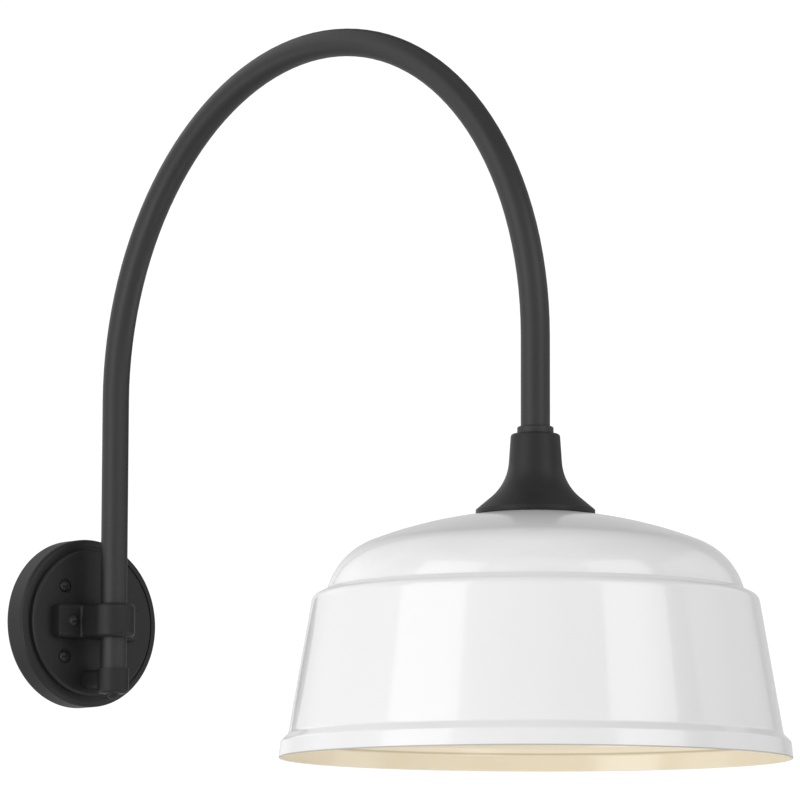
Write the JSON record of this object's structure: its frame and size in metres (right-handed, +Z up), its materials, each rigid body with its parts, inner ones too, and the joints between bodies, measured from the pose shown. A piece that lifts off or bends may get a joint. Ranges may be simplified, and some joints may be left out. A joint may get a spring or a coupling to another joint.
{
  "type": "barn light",
  "caption": "Wall-mounted barn light: bell shade on a swivelling gooseneck tube arm held by a round wall plate, with lamp holder and bulb inside.",
  "frame": {"origin": "centre of the junction-box fixing slots, on the wall plane", "axes": "+Z up, +Y into the wall, so the light reaches out along -Y"},
  "size_m": [0.3303, 0.6621, 0.5094],
  "materials": {
    "black_paint": "matt black powder coat",
    "white_enamel": "gloss white enamel outside, cream inside",
    "black_rubber": "matt",
    "zinc_steel": "zinc plated",
    "earth_green": "green dyed",
    "nylon": "moulded",
    "terminal_plastic": "moulded",
    "cable_sheath": "extruded",
    "porcelain": "glazed",
    "brass": "plain",
    "cap_steel": "satin",
    "frosted_glass": "frosted",
    "bulb_aluminium": "pressed",
    "dark_glass": "vitreous"
  },
  "bodies": {
    "wall_mount": {"wall_gasket": "black_rubber", "mounting_plate": "zinc_steel", "backplate": "black_paint", "plate_screws": "black_paint", "earth_screw": "earth_green", "terminal_block": "terminal_plastic", "terminal_screws": "brass", "plate_cable": "cable_sheath", "saddle": "black_paint", "saddle_bush": "nylon", "saddle_screws": "black_paint", "saddle_nuts": "zinc_steel", "foot": "black_paint", "foot_nut": "zinc_steel", "foot_plug": "black_paint", "thrust_washer": "nylon"},
    "arm": {"arm_tube": "black_paint", "arm_cable": "cable_sheath", "lock_ring": "black_paint", "neck": "black_paint", "shade_gasket": "black_rubber", "shade": "white_enamel", "nipple": "zinc_steel", "shade_washer": "zinc_steel", "shade_nut": "zinc_steel", "holder_cap": "cap_steel", "holder_body": "porcelain", "holder_shell": "brass", "holder_contact": "brass", "holder_terminals": "brass"},
    "bulb": {"bulb_glass": "frosted_glass", "bulb_base": "bulb_aluminium", "bulb_insulator": "dark_glass", "bulb_tip": "brass"}
  },
  "joints": [
    {"name": "arm_swivel", "type": "hinge", "parent": "wall_mount", "child": "arm", "pos_m": [0, -0.0457, 0], "axis": [0, 0, 1], "range_deg": [-60, 60]},
    {"name": "bulb_unscrew", "type": "slide", "parent": "arm", "child": "bulb", "axis": [0, 0, -1], "range_m": [0, 0.03]}
  ]
}
